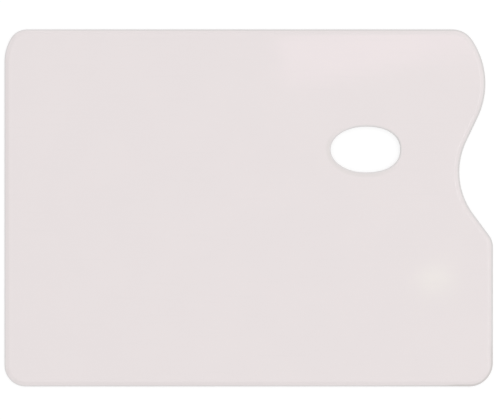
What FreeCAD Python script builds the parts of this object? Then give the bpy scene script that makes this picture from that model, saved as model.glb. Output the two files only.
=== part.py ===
# Hand-held mixing palette: a single sheet of white acrylic, cut to a
# round-cornered rectangle with an oval thumb hole, and with a finger scoop in
# the edge beside the hole.  The outer edge is scraped to a shallow bevel, and
# the rims that it leaves are rounded over and polished.
#
# Frame: millimetres.  The sheet lies flat, +Z up out of the mixing face, +X
# along the long side towards the grip end, +Y towards the far edge.  The origin
# is under the middle of the sheet, on its underside.

import FreeCAD
import Part
import Sketcher

import math
import os

# Driving dimensions: alias, value, and what it measures.
# Lengths are in millimetres and angles in degrees.  Everything at the grip end
# is measured from the far edge and from the heel edge, which is the straight
# right-hand edge below the scoop.
SIZES = [
    ("board_length", 300.0, "back edge to heel edge"),
    ("board_width", 219.3, "near edge to far edge"),
    ("sheet_thickness", 3.0, "acrylic sheet"),
    ("bevel_width", 2.9, "bevel of the outer edge, in from the outline"),
    ("bevel_depth", 1.15, "bevel of the outer edge, down from the mixing face"),
    ("rim_round", 0.9, "round-over of the bevel's rim and of the thumb hole's upper edge"),
    ("under_edge_round", 0.8, "round-over between underside and cut edges"),
    ("far_back_corner_radius", 11.7, "tighter arc of the corner of far and back edges"),
    ("back_flank_radius", 28.2, "wider arc of that corner, beside the back edge"),
    ("back_flank_turn", 29.7, "how far that wider arc turns"),
    ("near_back_corner_radius", 13.0, "corner of near and back edges"),
    ("near_heel_corner_radius", 14.5, "corner of near and heel edges"),
    ("horn_corner_radius", 14.5, "first, tighter arc where the far edge turns into the horn"),
    ("horn_corner_turn", 56.0, "how far that arc turns before the horn's flank takes over"),
    ("horn_inset", 4.6, "heel edge line to the widest point of the horn"),
    ("horn_slope", 25.5, "straight from horn to scoop, off the heel edge's direction"),
    ("scoop_depth", 20.6, "heel edge line to the deepest point of the scoop"),
    ("scoop_radius", 43.5, "finger scoop"),
    ("scoop_from_far_edge", 87.5, "far edge to the middle of the scoop"),
    ("heel_slope", 36.5, "straight from scoop to heel, off the heel edge's direction"),
    ("heel_radius", 11.5, "arc that turns that straight into the heel edge"),
    ("thumb_hole_length", 42.8, "oval, along the long side"),
    ("thumb_hole_width", 28.2, "oval, across"),
    ("thumb_hole_from_heel_edge", 78.3, "heel edge to the middle of the oval"),
    ("thumb_hole_from_far_edge", 73.75, "far edge to the middle of the oval"),
]

# A round-over takes at most this share of the wall that is left under the bevel.
RIM_ROUND_LIMIT = 0.6
UNDER_ROUND_LIMIT = 0.45

# Point numbers on sketch geometry, and the sketch's own origin.
START, END, CENTRE = 1, 2, 3
ORIGIN = (-1, 1)

UP = FreeCAD.Vector(0, 0, 1)
# How flat an edge lies and how near a length comes, in mm, and a volume's share.
FLAT_TOLERANCE = 1e-6
LENGTH_TOLERANCE = 1e-3
VOLUME_TOLERANCE = 1e-3


def make_sizes(doc):
    """The spreadsheet of driving dimensions, one aliased cell each."""
    sizes = doc.addObject("Spreadsheet::Sheet", "sizes")
    for row, (alias, value, note) in enumerate(SIZES, start=1):
        sizes.set(f"A{row}", alias)
        sizes.set(f"B{row}", str(value))
        sizes.set(f"C{row}", note)
        sizes.setAlias(f"B{row}", alias)
    doc.recompute()
    return sizes


def base_plane_sketch(body, name):
    """An empty sketch on the body's XY plane, which is the sheet's underside."""
    sketch = body.newObject("Sketcher::SketchObject", name)
    plane = next(f for f in body.Origin.OriginFeatures if f.Role == "XY_Plane")
    sketch.AttachmentSupport = [(plane, "")]
    sketch.MapMode = "FlatFace"
    return sketch


def as_drawn(sketch, kind, where):
    """What a dimension measures on the geometry as it was drawn."""
    shape = sketch.Geometry[where[0]]
    if kind == "Radius":
        return shape.Radius
    if kind == "Angle":
        return shape.LastParameter - shape.FirstParameter
    if kind == "Distance":
        return shape.length()
    step = sketch.getPoint(*where[2:]) - sketch.getPoint(*where[:2])
    return step.x if kind == "DistanceX" else step.y


def bind(sketch, name, expression, kind, *where):
    """A named dimension that follows an expression of the sizes."""
    start_value = as_drawn(sketch, kind, where)
    index = sketch.addConstraint(Sketcher.Constraint(kind, *where, start_value))
    sketch.renameConstraint(index, name)
    sketch.setExpression(f"Constraints.{name}", expression)


def point(x, y):
    """A point on the sketch plane."""
    return FreeCAD.Vector(x, y, 0)


def polar(centre, radius, angle):
    """The point at an angle, in degrees, on a circle."""
    turn = math.radians(angle)
    return point(centre.x + radius * math.cos(turn), centre.y + radius * math.sin(turn))


def line(start, end):
    """The straight from one point to another."""
    return Part.LineSegment(start, end)


def arc(centre, radius, first, last):
    """The arc of a circle from one angle round to another, in degrees."""
    circle = Part.Circle(centre, UP, radius)
    return Part.ArcOfCircle(circle, math.radians(first), math.radians(last))


def outline_geometry(size):
    """The lines and arcs of the outline in order, clockwise from the far edge, as
    a dict of name to geometry.  Each runs tangent into the next.

    The horn's flank is one arc whose radius follows from what it joins: the
    corner arc on the far edge, the widest point of the horn, and the straight
    that leads down into the scoop.
    """
    back, heel = -size("board_length") / 2, size("board_length") / 2
    near, far = -size("board_width") / 2, size("board_width") / 2
    corner_turn = math.radians(size("horn_corner_turn"))
    horn_slope = math.radians(size("horn_slope"))
    heel_slope = math.radians(size("heel_slope"))
    horn_corner = size("horn_corner_radius")
    scoop_radius, heel_radius = size("scoop_radius"), size("heel_radius")
    scoop_y = far - size("scoop_from_far_edge")

    # An S of two arcs and a straight at a slope steps sideways by `step` over a
    # length of (sum of radii) * tan(slope / 2) + step / tan(slope).
    horn_step = size("scoop_depth") - size("horn_inset")
    horn_run = far - horn_corner - scoop_y - horn_step / math.tan(horn_slope)
    flank_radius = (
        horn_run + horn_corner * math.cos(corner_turn) - scoop_radius * math.tan(horn_slope / 2)
    ) / (math.cos(corner_turn) + math.tan(horn_slope / 2))
    heel_run = (scoop_radius + heel_radius) * math.tan(heel_slope / 2)
    heel_run += size("scoop_depth") / math.tan(heel_slope)

    corner_reach = flank_radius - horn_corner
    flank = point(
        heel - size("horn_inset") - flank_radius,
        far - horn_corner - corner_reach * math.cos(corner_turn),
    )
    corner = point(flank.x + corner_reach * math.sin(corner_turn), far - horn_corner)
    scoop = point(heel - size("scoop_depth") + scoop_radius, scoop_y)
    heel_arc = point(heel - heel_radius, scoop_y - heel_run)

    # Arc angles, anticlockwise from +X.
    flank_top, flank_foot = 90 - size("horn_corner_turn"), -size("horn_slope")
    scoop_top, scoop_foot = 180 - size("horn_slope"), 180 + size("heel_slope")
    heel_top = size("heel_slope")

    near_heel = size("near_heel_corner_radius")
    near_back = size("near_back_corner_radius")
    near_heel_centre = point(heel - near_heel, near + near_heel)
    near_back_centre = point(back + near_back, near + near_back)

    # The far back corner is two arcs, whose centres lie on one ray through the
    # point where they meet.
    far_back, back_radius = size("far_back_corner_radius"), size("back_flank_radius")
    back_reach = back_radius - far_back
    back_turn = math.radians(size("back_flank_turn"))
    back_flank = point(back + back_radius, far - far_back - back_reach * math.sin(back_turn))
    far_back_centre = point(back_flank.x - back_reach * math.cos(back_turn), far - far_back)
    back_top = 180 - size("back_flank_turn")

    return {
        "far_edge": line(point(far_back_centre.x, far), point(corner.x, far)),
        "horn_corner": arc(corner, horn_corner, flank_top, 90),
        "horn_flank": arc(flank, flank_radius, flank_foot, flank_top),
        "horn_straight": line(
            polar(flank, flank_radius, flank_foot), polar(scoop, scoop_radius, scoop_top)
        ),
        "scoop": arc(scoop, scoop_radius, scoop_top, scoop_foot),
        "heel_straight": line(
            polar(scoop, scoop_radius, scoop_foot), polar(heel_arc, heel_radius, heel_top)
        ),
        "heel_arc": arc(heel_arc, heel_radius, 0, heel_top),
        "heel_edge": line(point(heel, heel_arc.y), point(heel, near_heel_centre.y)),
        "near_heel_corner": arc(near_heel_centre, near_heel, 270, 360),
        "near_edge": line(point(near_heel_centre.x, near), point(near_back_centre.x, near)),
        "near_back_corner": arc(near_back_centre, near_back, 180, 270),
        "back_edge": line(point(back, near_back_centre.y), point(back, back_flank.y)),
        "back_flank": arc(back_flank, back_radius, back_top, 180),
        "far_back_corner": arc(far_back_centre, far_back, 90, back_top),
    }


def draw_outline(body, size):
    """The sheet's outline, every line and arc tangent to the next."""
    sketch = base_plane_sketch(body, "outline")
    geometry = outline_geometry(size)
    number = {name: sketch.addGeometry(shape, False) for name, shape in geometry.items()}

    # Arcs run anticlockwise, so the clockwise walk enters each convex arc at its
    # end and leaves it at its start, and the scoop the other way round.
    convex = {name for name, shape in geometry.items() if hasattr(shape, "Radius")} - {"scoop"}
    names = list(geometry)
    for name, following in zip(names, names[1:] + names[:1]):
        leave = START if name in convex else END
        enter = END if following in convex else START
        sketch.addConstraint(
            Sketcher.Constraint("Tangent", number[name], leave, number[following], enter)
        )
    for name in ("far_edge", "near_edge"):
        sketch.addConstraint(Sketcher.Constraint("Horizontal", number[name]))
    for name in ("heel_edge", "back_edge"):
        sketch.addConstraint(Sketcher.Constraint("Vertical", number[name]))

    # A construction radius marks the widest point of the horn.
    flank = geometry["horn_flank"]
    widest = sketch.addGeometry(line(flank.Center, polar(flank.Center, flank.Radius, 0)), True)
    flank_number = number["horn_flank"]
    sketch.addConstraint(
        [
            Sketcher.Constraint("Coincident", widest, START, flank_number, CENTRE),
            Sketcher.Constraint("PointOnObject", widest, END, flank_number),
            Sketcher.Constraint("Horizontal", widest),
        ]
    )

    far, near = (number["far_edge"], END), (number["near_edge"], START)
    heel, back = (number["heel_edge"], START), (number["back_edge"], START)
    scoop_centre = (number["scoop"], CENTRE)
    bind(sketch, "far_half", "sizes.board_width / 2", "DistanceY", *ORIGIN, *far)
    bind(sketch, "near_half", "sizes.board_width / 2", "DistanceY", *near, *ORIGIN)
    bind(sketch, "heel_half", "sizes.board_length / 2", "DistanceX", *ORIGIN, *heel)
    bind(sketch, "back_half", "sizes.board_length / 2", "DistanceX", *back, *ORIGIN)
    bind(sketch, "horn_inset", "sizes.horn_inset", "DistanceX", widest, END, *heel)
    bind(
        sketch,
        "scoop_out",
        "sizes.scoop_radius - sizes.scoop_depth",
        "DistanceX",
        *heel,
        *scoop_centre,
    )
    bind(sketch, "scoop_down", "sizes.scoop_from_far_edge", "DistanceY", *scoop_centre, *far)
    bind(sketch, "corner_turn", "sizes.horn_corner_turn", "Angle", number["horn_corner"])
    bind(
        sketch,
        "flank_turn",
        "90 - sizes.horn_corner_turn + sizes.horn_slope",
        "Angle",
        flank_number,
    )
    bind(sketch, "heel_turn", "sizes.heel_slope", "Angle", number["heel_arc"])
    bind(sketch, "back_flank_turn", "sizes.back_flank_turn", "Angle", number["back_flank"])
    for name, alias in {
        "horn_corner": "horn_corner_radius",
        "scoop": "scoop_radius",
        "heel_arc": "heel_radius",
        "near_heel_corner": "near_heel_corner_radius",
        "near_back_corner": "near_back_corner_radius",
        "back_flank": "back_flank_radius",
        "far_back_corner": "far_back_corner_radius",
    }.items():
        bind(sketch, alias, f"sizes.{alias}", "Radius", number[name])
    return sketch


def draw_thumb_hole(body, size):
    """The oval of the thumb hole, its long axis along the sheet's long side."""
    sketch = base_plane_sketch(body, "thumb_oval")
    centre = point(
        size("board_length") / 2 - size("thumb_hole_from_heel_edge"),
        size("board_width") / 2 - size("thumb_hole_from_far_edge"),
    )
    ellipse = Part.Ellipse(centre, size("thumb_hole_length") / 2, size("thumb_hole_width") / 2)
    oval = sketch.addGeometry(ellipse, False)
    sketch.exposeInternalGeometry(oval)
    long_axis, short_axis = oval + 1, oval + 2
    sketch.addConstraint(Sketcher.Constraint("Horizontal", long_axis))
    bind(sketch, "oval_length", "sizes.thumb_hole_length", "Distance", long_axis)
    bind(sketch, "oval_width", "sizes.thumb_hole_width", "Distance", short_axis)
    across = "sizes.board_length / 2 - sizes.thumb_hole_from_heel_edge"
    up = "sizes.board_width / 2 - sizes.thumb_hole_from_far_edge"
    bind(sketch, "oval_across", across, "DistanceX", *ORIGIN, oval, CENTRE)
    bind(sketch, "oval_up", up, "DistanceY", *ORIGIN, oval, CENTRE)
    return sketch


def flat_edges(shape, height):
    """The edges that lie flat at a height, as pairs of name and edge."""
    return [
        (f"Edge{number}", edge)
        for number, edge in enumerate(shape.Edges, start=1)
        if abs(edge.BoundBox.ZMin - height) < FLAT_TOLERANCE
        and abs(edge.BoundBox.ZMax - height) < FLAT_TOLERANCE
    ]


def outline_edges(shape, height):
    """Names of the outline's edges at a height, a row of lines and arcs."""
    return [name for name, edge in flat_edges(shape, height) if not edge.isClosed()]


def oval_edges(shape, height):
    """Names of the thumb hole's edges at a height, which close on themselves."""
    return [name for name, edge in flat_edges(shape, height) if edge.isClosed()]


def bevel_edges(body, base, edges):
    """Scrapes the sheet's upper edge to a bevel, wider on the mixing face than it is deep."""
    bevel = body.newObject("PartDesign::Chamfer", "bevel")
    bevel.Base = (base, edges)
    bevel.ChamferType = "Two distances"
    bevel.setExpression("Size", "sizes.bevel_depth")
    bevel.setExpression("Size2", "sizes.bevel_width")
    body.Document.recompute()
    return bevel


def round_edges(body, base, name, edges, expression):
    """Rounds over some edges of the base feature."""
    fillet = body.newObject("PartDesign::Fillet", name)
    fillet.Base = (base, edges)
    fillet.setExpression("Radius", expression)
    body.Document.recompute()
    return fillet


def check_cuts(size, sheet, holed, bevelled):
    """Stops if the thumb hole or the bevel took off less or more than its sizes say."""
    hole_area = math.pi / 4 * size("thumb_hole_length") * size("thumb_hole_width")
    expected = hole_area * size("sheet_thickness")
    cut = sheet.Volume - holed.Volume
    if abs(cut - expected) > VOLUME_TOLERANCE * expected:
        raise RuntimeError(f"the thumb hole took {cut:.1f} mm3 and not {expected:.1f}")

    face_length = size("board_length") - 2 * size("bevel_width")
    mixing_face = max(bevelled.Faces, key=lambda face: face.CenterOfMass.z)
    left = mixing_face.BoundBox.XLength
    if abs(left - face_length) > LENGTH_TOLERANCE:
        raise RuntimeError(f"the bevel left {left:.2f} mm of face and not {face_length:.2f}")


def make_board(doc, size):
    """The palette board: sheet, thumb hole, bevel, then the round-overs of their rims."""
    body = doc.addObject("PartDesign::Body", "palette_board")
    body.Label = "palette_board"
    body.AllowCompound = False

    sheet = body.newObject("PartDesign::Pad", "sheet")
    sheet.Profile = draw_outline(body, size)
    sheet.setExpression("Length", "sizes.sheet_thickness")
    doc.recompute()

    thumb_hole = body.newObject("PartDesign::Pocket", "thumb_hole")
    thumb_hole.Profile = draw_thumb_hole(body, size)
    thumb_hole.Type = "ThroughAll"
    thumb_hole.Reversed = True
    doc.recompute()

    thickness = size("sheet_thickness")
    wall_top = thickness - size("bevel_depth")
    wall = "(sizes.sheet_thickness - sizes.bevel_depth)"
    rim_radius = f"min(sizes.rim_round; {RIM_ROUND_LIMIT} * {wall})"
    under_radius = f"min(sizes.under_edge_round; {UNDER_ROUND_LIMIT} * {wall})"
    bevel = bevel_edges(body, thumb_hole, outline_edges(thumb_hole.Shape, thickness))
    rims = outline_edges(bevel.Shape, wall_top) + oval_edges(bevel.Shape, thickness)
    upper_round = round_edges(body, bevel, "upper_round", rims, rim_radius)
    feet = outline_edges(upper_round.Shape, 0.0) + oval_edges(upper_round.Shape, 0.0)
    round_edges(body, upper_round, "under_round", feet, under_radius)

    check_cuts(size, sheet.Shape, thumb_hole.Shape, bevel.Shape)
    return body


def check(doc, sub_parts):
    """Stops before anything is written if an object failed or a shape is bad."""
    for item in doc.Objects:
        if {"Invalid", "Error"} & set(item.State):
            raise RuntimeError(f"{item.Label} failed: {item.State}")
        if item.isDerivedFrom("Sketcher::SketchObject") and item.solve() != 0:
            raise RuntimeError(f"sketch {item.Label} has no solution")
    for part in sub_parts:
        if part.Shape.isNull() or not part.Shape.isValid():
            raise RuntimeError(f"{part.Label} has no valid shape")


def main():
    doc = FreeCAD.newDocument("mixing_palette")
    sizes = make_sizes(doc)
    board = make_board(doc, sizes.get)
    sub_parts = [board]
    check(doc, sub_parts)
    os.makedirs("parts", exist_ok=True)
    for part in sub_parts:
        part.Shape.exportStep(f"parts/{part.Label}.step")
        box = part.Shape.optimalBoundingBox()
        print(
            f"{part.Label}: {len(part.Shape.Solids)} solid,"
            f" {box.XLength:.2f} x {box.YLength:.2f} x {box.ZLength:.2f} mm,"
            f" {part.Shape.Volume / 1000:.1f} cm3"
        )


main()
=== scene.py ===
import math

import bpy
import numpy as np
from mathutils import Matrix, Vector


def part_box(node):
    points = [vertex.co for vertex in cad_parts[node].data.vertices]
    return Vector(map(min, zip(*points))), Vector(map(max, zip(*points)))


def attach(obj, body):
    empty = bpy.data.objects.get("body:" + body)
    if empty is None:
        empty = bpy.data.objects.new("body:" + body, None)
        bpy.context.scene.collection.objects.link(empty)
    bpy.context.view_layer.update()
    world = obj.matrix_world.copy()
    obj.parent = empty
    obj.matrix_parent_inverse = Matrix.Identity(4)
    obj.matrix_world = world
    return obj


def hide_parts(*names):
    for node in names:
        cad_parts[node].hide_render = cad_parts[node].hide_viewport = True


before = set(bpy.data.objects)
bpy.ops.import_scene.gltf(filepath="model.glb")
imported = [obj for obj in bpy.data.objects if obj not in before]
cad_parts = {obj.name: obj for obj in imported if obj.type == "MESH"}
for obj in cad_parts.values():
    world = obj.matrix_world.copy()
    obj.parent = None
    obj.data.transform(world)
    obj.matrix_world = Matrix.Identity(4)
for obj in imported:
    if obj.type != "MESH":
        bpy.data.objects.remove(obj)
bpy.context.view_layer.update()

# Palette board
# One sheet of opal white acrylic.  The outline is sawn to a round-cornered rectangle, with a
# horn and a finger scoop at the grip end.  The thumb hole is an oval, blunter on that side.
low, high = (np.array(corner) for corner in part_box("palette_board"))
BACK, HEEL = low[0], high[0]
NEAR, FAR = low[1], high[1]
UNDER, FACE = low[2], high[2]

FAR_BACK_RADIUS = 0.0117
FAR_BACK_FLANK_RADIUS = 0.0282
FAR_BACK_FLANK_TURN = math.radians(29.7)
NEAR_BACK_RADIUS = 0.0130
NEAR_HEEL_RADIUS = 0.0145
HORN_CORNER_RADIUS = 0.0145
HORN_CORNER_TURN = math.radians(56.0)
HORN_INSET = 0.0046
HORN_SLOPE = math.radians(25.5)
SCOOP_DEPTH = 0.0206
SCOOP_RADIUS = 0.0435
SCOOP_FROM_FAR_EDGE = 0.0875
HEEL_SLOPE = math.radians(36.5)
HEEL_RADIUS = 0.0115
THUMB_HOLE_LENGTH = 0.0428
THUMB_HOLE_WIDTH = 0.0282
THUMB_HOLE_FROM_HEEL_EDGE = 0.0783
THUMB_HOLE_FROM_FAR_EDGE = 0.07375
GRIP_SIDE_POWER, BACK_SIDE_POWER = 2.28, 2.0

ARC_STEP = math.radians(2.0)
STRAIGHT_STEP = 0.0020

thumb_hole_centre = np.array([HEEL - THUMB_HOLE_FROM_HEEL_EDGE, FAR - THUMB_HOLE_FROM_FAR_EDGE])


def arc_points(centre, radius, start, turn):
    """Points on a circle and the way out of the material at each, end point left out.

    A point is centre + radius * (cos a, sin a), with a running from start by turn.  The way
    out is (cos a, sin a) on a corner, which turns clockwise, and its opposite in a hollow.
    """
    steps = max(2, math.ceil(abs(turn) / ARC_STEP))
    angle = start + turn * np.arange(steps) / steps
    spoke = np.stack([np.cos(angle), np.sin(angle)], axis=1)
    return np.asarray(centre) + radius * spoke, -np.sign(turn) * spoke


def straight_points(start, end):
    """Evenly spaced points from start, end left out, and the way out: the run turned left."""
    start, end = np.asarray(start), np.asarray(end)
    length = np.linalg.norm(end - start)
    steps = max(2, math.ceil(length / STRAIGHT_STEP))
    share = (np.arange(steps) / steps)[:, None]
    run = (end - start) / length
    out = np.broadcast_to([-run[1], run[0]], (steps, 2))
    return start + share * (end - start), out


def board_outline():
    """The outline clockwise from the far edge: points and ways out, as two N x 2 arrays.

    Lines and arcs follow one another, each tangent to the next.  The flank of the horn has
    the one radius that joins the corner arc, the widest point of the horn and the straight
    that runs down into the scoop.  The far back corner is two arcs, the wider one on the back.
    """
    scoop_y = FAR - SCOOP_FROM_FAR_EDGE
    half_slope = math.tan(HORN_SLOPE / 2)
    run = FAR - HORN_CORNER_RADIUS - scoop_y - (SCOOP_DEPTH - HORN_INSET) / math.tan(HORN_SLOPE)
    flank_radius = run + HORN_CORNER_RADIUS * math.cos(HORN_CORNER_TURN) - SCOOP_RADIUS * half_slope
    flank_radius /= math.cos(HORN_CORNER_TURN) + half_slope
    reach = flank_radius - HORN_CORNER_RADIUS
    flank = np.array(
        [
            HEEL - HORN_INSET - flank_radius,
            FAR - HORN_CORNER_RADIUS - reach * math.cos(HORN_CORNER_TURN),
        ]
    )
    corner = flank + reach * np.array([math.sin(HORN_CORNER_TURN), math.cos(HORN_CORNER_TURN)])
    scoop = np.array([HEEL - SCOOP_DEPTH + SCOOP_RADIUS, scoop_y])
    heel_run = (SCOOP_RADIUS + HEEL_RADIUS) * math.tan(HEEL_SLOPE / 2)
    heel_run += SCOOP_DEPTH / math.tan(HEEL_SLOPE)
    heel = np.array([HEEL - HEEL_RADIUS, scoop_y - heel_run])
    near_heel = np.array([HEEL - NEAR_HEEL_RADIUS, NEAR + NEAR_HEEL_RADIUS])
    near_back = np.array([BACK + NEAR_BACK_RADIUS, NEAR + NEAR_BACK_RADIUS])
    back_turn = math.pi - FAR_BACK_FLANK_TURN
    back_reach = FAR_BACK_FLANK_RADIUS - FAR_BACK_RADIUS
    far_back_y = FAR - FAR_BACK_RADIUS - back_reach * math.sin(back_turn)
    back_flank = np.array([BACK + FAR_BACK_FLANK_RADIUS, far_back_y])
    far_back = back_flank + back_reach * np.array([math.cos(back_turn), math.sin(back_turn)])

    quarter = math.pi / 2
    horn_out = np.array([math.cos(HORN_SLOPE), -math.sin(HORN_SLOPE)])
    heel_out = np.array([math.cos(HEEL_SLOPE), math.sin(HEEL_SLOPE)])
    flank_top = quarter - HORN_CORNER_TURN
    stretches = [
        straight_points([far_back[0], FAR], [corner[0], FAR]),
        arc_points(corner, HORN_CORNER_RADIUS, quarter, -HORN_CORNER_TURN),
        arc_points(flank, flank_radius, flank_top, -flank_top - HORN_SLOPE),
        straight_points(flank + flank_radius * horn_out, scoop - SCOOP_RADIUS * horn_out),
        arc_points(scoop, SCOOP_RADIUS, math.pi - HORN_SLOPE, HORN_SLOPE + HEEL_SLOPE),
        straight_points(scoop - SCOOP_RADIUS * heel_out, heel + HEEL_RADIUS * heel_out),
        arc_points(heel, HEEL_RADIUS, HEEL_SLOPE, -HEEL_SLOPE),
        straight_points([HEEL, heel[1]], [HEEL, near_heel[1]]),
        arc_points(near_heel, NEAR_HEEL_RADIUS, 0.0, -quarter),
        straight_points([near_heel[0], NEAR], [near_back[0], NEAR]),
        arc_points(near_back, NEAR_BACK_RADIUS, -quarter, -quarter),
        straight_points([BACK, near_back[1]], [BACK, back_flank[1]]),
        arc_points(back_flank, FAR_BACK_FLANK_RADIUS, math.pi, -FAR_BACK_FLANK_TURN),
        arc_points(far_back, FAR_BACK_RADIUS, back_turn, quarter - back_turn),
    ]
    points, ways_out = zip(*stretches)
    return np.concatenate(points), np.concatenate(ways_out)


def thumb_oval(toward):
    """The oval's point in each direction from its centre, and the way out of the material.

    With u = x / a and v = y / b for half axes a and b, the oval is where |u|^n + |v|^n = 1.  The
    power n is 2, an ellipse, on the back side, and higher, so blunter, on the grip side.  The way
    out is into the hole, against the gradient: sign u |u|^(n - 1) / a, and the same for v and b.
    """
    half_axes = np.array([THUMB_HOLE_LENGTH, THUMB_HOLE_WIDTH]) / 2
    power = np.where(toward[:, :1] > 0, GRIP_SIDE_POWER, BACK_SIDE_POWER)
    share = toward / half_axes
    share = share / np.sum(np.abs(share) ** power, axis=1, keepdims=True) ** (1 / power)
    gradient = np.sign(share) * np.abs(share) ** (power - 1) / half_axes
    way_out = -gradient / np.linalg.norm(gradient, axis=1, keepdims=True)
    return thumb_hole_centre + share * half_axes, way_out


# The board's surface.  The outer edge is scraped to a shallow bevel and its rim is rounded; at
# the thumb hole the face runs up to a rounded rim.  The underside has a small round.
BEVEL_WIDTH = 0.0029
BEVEL_DEPTH = 0.00115
BEVEL_EASE = 0.0006
RIM_WIDTH = 0.0008
RIM_DEPTH = 0.00045
UNDER_ROUND = 0.0008
EASE_STEPS = 8
RIM_STEPS = 12
WALL_STEPS = 3
UNDER_ROUND_STEPS = 8
FACE_RINGS = 20
UNDER_RINGS = 8


def soft_corner(start, corner, end, steps):
    """A corner softened by the quadratic curve that leaves start, and meets end, towards it."""
    t = np.linspace(0.0, 1.0, steps + 1)[:, None]
    start, corner, end = (np.array(point) for point in (start, corner, end))
    return (1 - t) ** 2 * start + 2 * t * (1 - t) * corner + t**2 * end


def edge_profile(bevel_depth):
    """A cut edge from mixing face to underside: (distance in from the outline, height) rows.

    The bevel falls evenly by its depth over its width.  The corners between face and bevel,
    bevel and wall, and wall and underside are softened.
    """
    fall = bevel_depth / BEVEL_WIDTH
    brow = FACE - bevel_depth
    wall_top = brow - RIM_DEPTH
    wall_foot = UNDER + UNDER_ROUND
    ease = soft_corner(
        [BEVEL_WIDTH + BEVEL_EASE, FACE],
        [BEVEL_WIDTH, FACE],
        [BEVEL_WIDTH - BEVEL_EASE, FACE - BEVEL_EASE * fall],
        EASE_STEPS,
    )
    rim = soft_corner(
        [RIM_WIDTH, brow + RIM_WIDTH * fall], [0.0, brow], [0.0, wall_top], RIM_STEPS
    )
    wall_height = np.linspace(wall_top, wall_foot, WALL_STEPS + 1)[1:-1]
    wall = np.stack([np.zeros_like(wall_height), wall_height], axis=1)
    under = soft_corner([0.0, wall_foot], [0.0, UNDER], [UNDER_ROUND, UNDER], UNDER_ROUND_STEPS)
    return np.concatenate([ease, rim, wall, under])


def carry(points, way_out, profile):
    """An edge profile carried round a line: profile rows x points x 3."""
    flat = points[None] - profile[:, 0, None, None] * way_out[None]
    level = np.broadcast_to(profile[:, 1, None, None], (*flat.shape[:2], 1))
    return np.concatenate([flat, level], axis=2)


def span(first, last, rings):
    """Rings in between two rings, straight across, both ends left out."""
    share = np.linspace(0.0, 1.0, rings + 1)[1:-1, None, None]
    return first[None] + share * (last - first)[None]


outline, outline_out = board_outline()
oval, oval_out = thumb_oval(outline - thumb_hole_centre)
profile = edge_profile(BEVEL_DEPTH)
hole_profile = edge_profile(0.0)[::-1]
outer_edge = carry(outline, outline_out, profile)
hole_edge = carry(oval, oval_out, hole_profile)
across_face = span(hole_edge[-1], outer_edge[0], FACE_RINGS)
across_under = span(outer_edge[-1], hole_edge[0], UNDER_RINGS)
skin = np.concatenate([across_face, outer_edge, across_under, hole_edge])

# How far round the edge a ring is.
ON_FACES, ON_BEVEL, ON_WALL = 0.0, 0.5, 1.0
edge_share = np.concatenate(
    [
        np.linspace(ON_FACES, ON_BEVEL, EASE_STEPS + 1),
        np.linspace(ON_BEVEL, ON_WALL, RIM_STEPS + 1),
        np.full(WALL_STEPS - 1, ON_WALL),
        np.linspace(ON_WALL, ON_FACES, UNDER_ROUND_STEPS + 1),
    ]
)
face_rest, under_rest = np.full(FACE_RINGS - 1, ON_FACES), np.full(UNDER_RINGS - 1, ON_FACES)
ring_share = np.concatenate([face_rest, edge_share, under_rest, edge_share[::-1]])

# How far in from the cut a ring lies, for the marks that run along the edge.
face_inset = np.full(FACE_RINGS - 1, profile[0, 0])
under_inset = np.full(UNDER_RINGS - 1, profile[-1, 0])
ring_inset = np.concatenate([face_inset, profile[:, 0], under_inset, hole_profile[:, 0]])

# Painted shade: a darker band of the upper face beside the hole, on its lower-left side.
HOLE_SHADE_WIDTH = 0.0035
HOLE_SHADE_FADE = 0.00175
SHADED_SIDE = np.array([-0.80, -0.60])
SHADED_SIDE_EDGE, SHADED_SIDE_FULL = -0.25, 0.50
shaded_side_share = np.clip((-oval_out @ SHADED_SIDE - SHADED_SIDE_EDGE) / (SHADED_SIDE_FULL - SHADED_SIDE_EDGE), 0.0, 1.0)
band_share = np.clip((HOLE_SHADE_WIDTH - hole_profile[:, 0]) / HOLE_SHADE_FADE, 0.0, 1.0)
hole_side_shade = np.zeros(skin.shape[:2])
hole_side_shade[-len(hole_profile) :] = band_share[:, None] * shaded_side_share[None]


def ring_mesh(name, rings):
    """A closed mesh over a grid whose rings and whose points in a ring both run round."""
    ring_count, point_count = rings.shape[:2]
    number = np.arange(ring_count * point_count).reshape(ring_count, point_count)
    after = np.roll(number, -1, axis=0)
    quads = np.stack(
        [number, after, np.roll(after, -1, axis=1), np.roll(number, -1, axis=1)], axis=2
    ).reshape(-1, 4)
    mesh = bpy.data.meshes.new(name)
    mesh.vertices.add(number.size)
    mesh.vertices.foreach_set("co", rings.astype(np.float32).ravel())
    mesh.loops.add(quads.size)
    mesh.loops.foreach_set("vertex_index", quads.astype(np.int32).ravel())
    mesh.polygons.add(len(quads))
    mesh.polygons.foreach_set("loop_start", np.arange(0, quads.size, 4, dtype=np.int32))
    mesh.polygons.foreach_set("use_smooth", np.ones(len(quads), dtype=bool))
    mesh.update(calc_edges=True)
    mesh.validate()
    return mesh


def point_attribute(mesh, name, values):
    """Stores one number per vertex for a material to read."""
    attribute = mesh.attributes.new(name, "FLOAT", "POINT")
    attribute.data.foreach_set("value", values.astype(np.float32).ravel())


board_mesh = ring_mesh("palette_board_sheet", skin)
whole_ring = np.ones(len(outline))
point_attribute(board_mesh, "cut_edge", ring_share[:, None] * whole_ring)
point_attribute(board_mesh, "inset", ring_inset[:, None] * whole_ring)
# The band of painted shade beside the thumb hole.
point_attribute(board_mesh, "hole_side_shade", hole_side_shade)
board = bpy.data.objects.new("palette_board_sheet", board_mesh)
bpy.context.scene.collection.objects.link(board)


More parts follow.
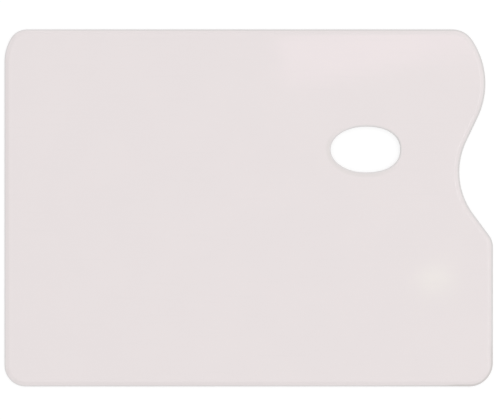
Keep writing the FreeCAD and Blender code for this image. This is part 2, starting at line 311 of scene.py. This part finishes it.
# The board's finish.  Opal acrylic, glossy from the casting mould and a little uneven as cast sheet
# is, with the fine hairlines of wiping.  Scraper marks follow the bevel, and the wall keeps the
# marks of the saw.
class Wire:
    """A socket in a node tree.  Sums and products of wires and numbers add Math nodes."""

    def __init__(self, tree, socket=None):
        self.tree = tree
        self.socket = socket

    def node(self, kind, settings=None, sockets=None, output=0):
        """Adds a node: its settings first, then values or wires for its input sockets."""
        made = self.tree.nodes.new(kind)
        for name, value in (settings or {}).items():
            setattr(made, name, value)
        for key, value in (sockets or {}).items():
            if isinstance(value, Wire):
                self.tree.links.new(value.socket, made.inputs[key])
            else:
                made.inputs[key].default_value = value
        return Wire(self.tree, made.outputs[output]) if len(made.outputs) else made

    def beside(self, output):
        """Another output of the node that this wire comes out of."""
        return Wire(self.tree, self.socket.node.outputs[output])

    def maths(self, operation, first, second):
        """Adds a Math node on two wires or numbers."""
        return self.node("ShaderNodeMath", {"operation": operation}, {0: first, 1: second})

    def __add__(self, other):
        return self.maths("ADD", self, other)

    def __radd__(self, other):
        return self.maths("ADD", other, self)

    def __sub__(self, other):
        return self.maths("SUBTRACT", self, other)

    def __rsub__(self, other):
        return self.maths("SUBTRACT", other, self)

    def __mul__(self, other):
        return self.maths("MULTIPLY", self, other)

    def __rmul__(self, other):
        return self.maths("MULTIPLY", other, self)


def new_tree(owner):
    """An empty node tree on a material or world, as the wire that other nodes start from."""
    owner.use_nodes = True
    owner.node_tree.nodes.clear()
    return Wire(owner.node_tree)


SMOOTH, LUMPY, ROUGH = 1.0, 2.0, 3.0
AS_STRETCHED = 1.0


def noise(tree, place, grain, detail):
    """Even noise from 0 to 1, with so many lumps to the unit of the place and so much detail."""
    sockets = {"Vector": place, "Scale": grain, "Detail": detail}
    return tree.node("ShaderNodeTexNoise", {}, sockets)


def ramp(tree, value, start, end):
    """0 below start and 1 above end, eased between."""
    return tree.node(
        "ShaderNodeMapRange",
        {"interpolation_type": "SMOOTHSTEP"},
        {"Value": value, "From Min": start, "From Max": end},
    )


def mix_colours(tree, share, first, second):
    """The first colour where share is 0 and the second where it is 1."""
    settings = {"data_type": "RGBA"}
    return tree.node("ShaderNodeMix", settings, {0: share, 6: first, 7: second}, output=2)


def stretched(tree, place, turn, scale):
    """A place turned about the vertical and scaled by axis, to draw a pattern out."""
    sockets = {"Vector": place, "Rotation": (0.0, 0.0, turn), "Scale": scale}
    return tree.node("ShaderNodeMapping", {"vector_type": "POINT"}, sockets)


def away_from(tree, place, centre):
    """How far each place lies from a centre."""
    settings = {"operation": "DISTANCE"}
    return tree.node("ShaderNodeVectorMath", settings, {0: place, 1: centre}, output="Value")


acrylic = bpy.data.materials.new("white_acrylic")
tree = new_tree(acrylic)
place = tree.node("ShaderNodeTexCoord", output="Object")
cut_edge = tree.node("ShaderNodeAttribute", {"attribute_name": "cut_edge"}, output="Fac")
inset = tree.node("ShaderNodeAttribute", {"attribute_name": "inset"}, output="Fac")
# The band of painted shade beside the thumb hole.
hole_side_shade_band = tree.node("ShaderNodeAttribute", {"attribute_name": "hole_side_shade"}, output="Fac")

# Painted shade on the rims: they are greyed towards the horn, along the sum of x and y, the side
# the light leans to, so that they are no lighter there; the painted grey line is widened round a
# centre by the heel edge, and both are less in the thumb hole, a painted lightening against its
# deeper shade.
# The heel corner, which the board is stood on, is scuffed.
LIT_SIDE_FADE = (-0.06, 0.06)
RIM_WIDENING_CENTRE, RIM_WIDENING_FADE = (0.125, 0.0, FACE), (0.090, 0.125)
HOLE_SHARE, HOLE_FADE = 0.42, (0.025, 0.045)
SCUFF_CENTRE = (HEEL - NEAR_HEEL_RADIUS, NEAR + NEAR_HEEL_RADIUS, FACE)
SCUFF_FADE = (0.0150, 0.0210)
across = tree.node("ShaderNodeSeparateXYZ", {}, {"Vector": place})
along = across.beside("Y")
from_hole = away_from(tree, place, (*thumb_hole_centre, FACE))
rim_shade_outside_hole = HOLE_SHARE + (1 - HOLE_SHARE) * ramp(tree, from_hole, *HOLE_FADE)
lit_side_rim_shade = rim_shade_outside_hole * ramp(tree, across + along, *LIT_SIDE_FADE)
heel_side_rim_widening = rim_shade_outside_hole - rim_shade_outside_hole * ramp(tree, away_from(tree, place, RIM_WIDENING_CENTRE), *RIM_WIDENING_FADE)
scuffed = 1 - ramp(tree, away_from(tree, place, SCUFF_CENTRE), *SCUFF_FADE)

# Zones: the bevel, the dull line at its rim, greyed as painted shade and wider where the heel side
# has more painted shade and where the corner is scuffed, and the sawn wall.
BEVEL_SHARE = (ON_FACES, ON_BEVEL)
WALL_SHARE = (0.72, 0.95)
RIM_LINE = (0.0004, 0.0012)
WEAR_AND_SHADE_REACH = 0.0003
bevel = ramp(tree, cut_edge, *BEVEL_SHARE)
rim_inset = inset - WEAR_AND_SHADE_REACH * (heel_side_rim_widening + scuffed)
rim_line = bevel - bevel * ramp(tree, rim_inset, *RIM_LINE)
wall = ramp(tree, cut_edge, *WALL_SHARE)

# Hairlines from wiping in three directions, each given by its turn and its lines' fineness.
HAIRLINE_RUN = 14.0
HAIRLINE_PEAK = (0.68, 0.78)
WIPED_ALONG, WIPED_BACK, WIPED_ACROSS = (0.35, 2600.0), (-0.90, 3100.0), (1.25, 2200.0)


def wiped_lines(tree, place, turn, fineness):
    """Noise drawn out along one wiping direction and kept only where it peaks."""
    wiped = stretched(tree, place, turn, (HAIRLINE_RUN, fineness, HAIRLINE_RUN))
    return ramp(tree, noise(tree, wiped, AS_STRETCHED, SMOOTH), *HAIRLINE_PEAK)


hairlines = wiped_lines(tree, place, *WIPED_ALONG)
hairlines = hairlines + wiped_lines(tree, place, *WIPED_BACK)
hairlines = hairlines + wiped_lines(tree, place, *WIPED_ACROSS)

# Scraper marks: noise across the bevel that hardly changes along it.
SCRAPE_FINENESS, SCRAPE_RUN = 4500.0, 25.0
along_edge = tree.node(
    "ShaderNodeCombineXYZ",
    {},
    {"X": inset * SCRAPE_FINENESS, "Y": across * SCRAPE_RUN, "Z": along * SCRAPE_RUN},
)
scrape = bevel * noise(tree, along_edge, AS_STRETCHED, LUMPY)

# Saw marks: fine upright strokes on the wall.
SAW_FINENESS, SAW_RUN = 1500.0, 90.0
upright = stretched(tree, place, 0.0, (SAW_FINENESS, SAW_FINENESS, SAW_RUN))
saw = wall * noise(tree, upright, AS_STRETCHED, ROUGH)

# Colours, from the clouded sheet up to what lies over it: hairlines, the painted shade beside the
# hole, the rim's painted shade and scuff, and the wall.
OPAL_WHITE = (0.800, 0.742, 0.742, 1.0)
OPAL_WHITE_CLOUDED = (0.794, 0.737, 0.738, 1.0)
HAIRLINE_GREY = (0.760, 0.712, 0.712, 1.0)
# Painted shade: the band beside the thumb hole and the grey line of the rims, which is darker on
# the side the light leans to.  The scuffed rim is wear.
HOLE_SHADE_GREY = (0.745, 0.700, 0.690, 1.0)
RIM_GREY = (0.745, 0.713, 0.713, 1.0)
RIM_SHADE_LIT_SIDE = (0.675, 0.654, 0.645, 1.0)
RIM_SCUFFED = (0.640, 0.608, 0.596, 1.0)
SAWN_WALL = (0.740, 0.700, 0.700, 1.0)
SAWN_WALL_DARK = (0.680, 0.650, 0.650, 1.0)
CLOUD_GRAIN, CLOUD_BAND = 30.0, (0.35, 0.65)
HAIRLINE_SHARE = 0.6
SAW_BAND = (0.40, 0.65)
cloud = ramp(tree, noise(tree, place, CLOUD_GRAIN, ROUGH), *CLOUD_BAND)
colour = mix_colours(tree, cloud, OPAL_WHITE, OPAL_WHITE_CLOUDED)
colour = mix_colours(tree, HAIRLINE_SHARE * hairlines, colour, HAIRLINE_GREY)
# Painted shade in the band beside the thumb hole.
colour = mix_colours(tree, hole_side_shade_band, colour, HOLE_SHADE_GREY)
# Painted shade: the rim grey is darker on the side the light leans to, and less so in the thumb
# hole.
rim_colour = mix_colours(tree, lit_side_rim_shade, RIM_GREY, RIM_SHADE_LIT_SIDE)
rim_colour = mix_colours(tree, scuffed, rim_colour, RIM_SCUFFED)
# The rims' grey line of painted shade goes over the face colour.
colour = mix_colours(tree, rim_line, colour, rim_colour)
sawn = mix_colours(tree, ramp(tree, saw, *SAW_BAND), SAWN_WALL, SAWN_WALL_DARK)
colour = mix_colours(tree, wall, colour, sawn)

# Roughness: the gloss of the sheet, and how much each mark takes from it.
GLOSS, SMUDGED, SCRATCHED, SCRAPED, DULLED = 0.07, 0.04, 0.12, 0.12, 0.26
SMUDGE_GRAIN, SMUDGE_BAND = 16.0, (0.40, 0.70)
smudge = ramp(tree, noise(tree, place, SMUDGE_GRAIN, ROUGH), *SMUDGE_BAND)
roughness = GLOSS + SMUDGED * smudge + SCRATCHED * hairlines + SCRAPED * scrape + DULLED * rim_line

# Relief, in metres, so that the bump needs no other unit.
RELIEF_STRENGTH, RELIEF_UNIT = 1.0, 1.0
WAVE_GRAIN, WAVE_HEIGHT = 12.0, 0.00006
PEEL_GRAIN, PEEL_HEIGHT = 300.0, 0.0000010
HAIRLINE_DEPTH = 0.0000012
SCRAPE_DEPTH = 0.0000030
SAW_DEPTH = 0.0000120
waves = noise(tree, place, WAVE_GRAIN, SMOOTH)
peel = noise(tree, place, PEEL_GRAIN, SMOOTH)
relief = WAVE_HEIGHT * waves + PEEL_HEIGHT * peel - HAIRLINE_DEPTH * hairlines
relief = relief - SCRAPE_DEPTH * scrape - SAW_DEPTH * saw
normal = tree.node(
    "ShaderNodeBump",
    {},
    {"Strength": RELIEF_STRENGTH, "Distance": RELIEF_UNIT, "Height": relief},
)

ACRYLIC_IOR = 1.49
finish = tree.node(
    "ShaderNodeBsdfPrincipled",
    {},
    {"Base Color": colour, "Roughness": roughness, "IOR": ACRYLIC_IOR, "Normal": normal},
)
tree.node("ShaderNodeOutputMaterial", {}, {"Surface": finish})
board_mesh.materials.append(acrylic)

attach(board, "root")
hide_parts("palette_board")

# Floor
# A white table top for the sheet to lie on, with the sheet's shadow on it.  It reaches so far
# that its end is out of sight.
FLOOR_REACH = 60.0
FLOOR_WHITE = (0.36, 0.36, 0.36, 1.0)
FLOOR_GLOW = 0.68


def seen_directly(tree):
    """1 for rays that show a picture of the thing itself, 0 for rays that only gather light."""
    camera_ray = tree.node("ShaderNodeLightPath", output="Is Camera Ray")
    glossy_ray = camera_ray.beside("Is Glossy Ray")
    either = tree.maths("MAXIMUM", camera_ray, glossy_ray)
    return tree.maths("MAXIMUM", either, camera_ray.beside("Is Transmission Ray"))


floor_mesh = bpy.data.meshes.new("table_top")
floor_corners = FLOOR_REACH * np.array([(-1, -1, 0), (1, -1, 0), (1, 1, 0), (-1, 1, 0)])
floor_mesh.from_pydata(floor_corners + np.array([0.0, 0.0, UNDER]), [], [(0, 1, 2, 3)])
floor = bpy.data.objects.new("table_top", floor_mesh)
bpy.context.scene.collection.objects.link(floor)
table_white = bpy.data.materials.new("table_white")
tree = new_tree(table_white)
lit = tree.node("ShaderNodeBsdfDiffuse", {}, {"Color": FLOOR_WHITE})
glow = tree.node("ShaderNodeEmission", {}, {"Strength": FLOOR_GLOW * seen_directly(tree)})
both = tree.node("ShaderNodeAddShader", {}, {0: lit, 1: glow})
tree.node("ShaderNodeOutputMaterial", {}, {"Surface": both})
floor_mesh.materials.append(table_white)

# Room
# A white room, brightest overhead and brighter on the right and at the far side.  A plain white
# backdrop stands round the table, so low that it shows only from near the table top.  Its top
# is given as the height of a direction that is one long.
WHITE = (1.0, 1.0, 1.0, 1.0)
ROOM_LIGHT = 0.649
ROOM_LEAN = (0.10, 0.08, 0.30)
BACKDROP_TOP = (0.12, 0.16)

room = bpy.data.worlds.new("soft_room")
bpy.context.scene.world = room
tree = new_tree(room)
toward = tree.node("ShaderNodeTexCoord", output="Generated")
lean = tree.node(
    "ShaderNodeVectorMath", {"operation": "DOT_PRODUCT"}, {0: toward, 1: ROOM_LEAN}, output="Value"
)
light = ROOM_LIGHT + lean
height = tree.node("ShaderNodeSeparateXYZ", {}, {"Vector": toward}, output="Z")
backdrop = seen_directly(tree) * (1 - ramp(tree, height, *BACKDROP_TOP))
brightness = light + backdrop * (1 - light)
sky = tree.node("ShaderNodeBackground", {}, {"Color": WHITE, "Strength": brightness})
tree.node("ShaderNodeOutputWorld", {}, {"Surface": sky})

# Camera
# Square above the sheet, far off with a long lens, as for a catalogue picture.
FIELD_WIDTH = 0.30710
FIELD_CENTRE = (0.00081, -0.00128)
LENS, SENSOR = 135.0, 36.0

camera_data = bpy.data.cameras.new("square_above")
camera_data.lens = LENS
camera_data.sensor_width = SENSOR
camera = bpy.data.objects.new("square_above", camera_data)
camera_height = FACE - BEVEL_DEPTH + FIELD_WIDTH * LENS / SENSOR
camera.location = (*FIELD_CENTRE, camera_height)
bpy.context.scene.collection.objects.link(camera)
bpy.context.scene.camera = camera

# Lamps
# Two small soft panels beside the camera, which the gloss shows as pale patches, a wide soft box
# high over the heel, which picks out its bevel, and a ring of soft boxes for the other views.
FILLED_SHARE = {"RECTANGLE": 1.0, "ELLIPSE": math.pi / 4}
SOFT_BOX_DISTANCE = 1.6


def soft_lamp(name, shape, size, radiance, place):
    """A flat lamp of even brightness, seen in the gloss but not by the camera.

    A flat lamp's power is pi times its area times its radiance, and its area is the share of
    its width times its depth that its shape fills.
    """
    light = bpy.data.lights.new(name, "AREA")
    light.shape = shape
    light.size, light.size_y = size
    light.color = radiance
    light.energy = math.pi * size[0] * size[1] * FILLED_SHARE[shape]
    lamp = bpy.data.objects.new(name, light)
    lamp.location = place
    lamp.visible_camera = False
    bpy.context.scene.collection.objects.link(lamp)
    return lamp


def panel(name, shape, patch_centre, patch_size, turn, radiance):
    """A panel level with the camera, placed to be mirrored in a patch of the face.

    The mirror image of the camera's axis runs back up, so the panel stands twice as far from
    the axis as the patch, and is twice as large.
    """
    across, along = 2 * np.array(patch_centre) - np.array(FIELD_CENTRE)
    size = [2 * side for side in patch_size]
    lamp = soft_lamp(name, shape, size, radiance, (across, along, camera_height))
    lamp.rotation_euler = (0.0, 0.0, math.radians(turn))


def soft_box(name, azimuth, elevation, size, brightness):
    """A soft box that faces the board from an azimuth, 0 at +X, and an elevation, in degrees."""
    azimuth, elevation = math.radians(azimuth), math.radians(elevation)
    level = math.cos(elevation)
    way = (level * math.cos(azimuth), level * math.sin(azimuth), math.sin(elevation))
    place = SOFT_BOX_DISTANCE * np.array(way)
    lamp = soft_lamp(name, "RECTANGLE", size, (brightness, brightness, brightness), place)
    lamp.rotation_euler = (math.pi / 2 - elevation, 0.0, azimuth + math.pi / 2)


panel(
    "far_panel",
    "RECTANGLE",
    patch_centre=(0.0850, 0.1066),
    patch_size=(0.133, 0.041),
    turn=12.0,
    radiance=(1.15, 0.71, 0.86),
)
panel(
    "near_panel",
    "ELLIPSE",
    patch_centre=(0.1150, -0.0445),
    patch_size=(0.024, 0.016),
    turn=0.0,
    radiance=(1.25, 1.70, 0.80),
)
soft_box("heel_box", azimuth=8.0, elevation=63.0, size=(0.75, 0.33), brightness=1.6)

RING_BOX_SIZE = (0.365, 0.62)
RING_BOX_ELEVATION = 26.0
RING_BOX_COUNT = 12
RING_START = 8.0
RING_LIGHT = 0.78
for number in range(RING_BOX_COUNT):
    azimuth = RING_START + 360.0 * number / RING_BOX_COUNT
    soft_box(f"ring_box_{number + 1}", azimuth, RING_BOX_ELEVATION, RING_BOX_SIZE, RING_LIGHT)

bpy.context.scene.view_settings.view_transform = "Standard"
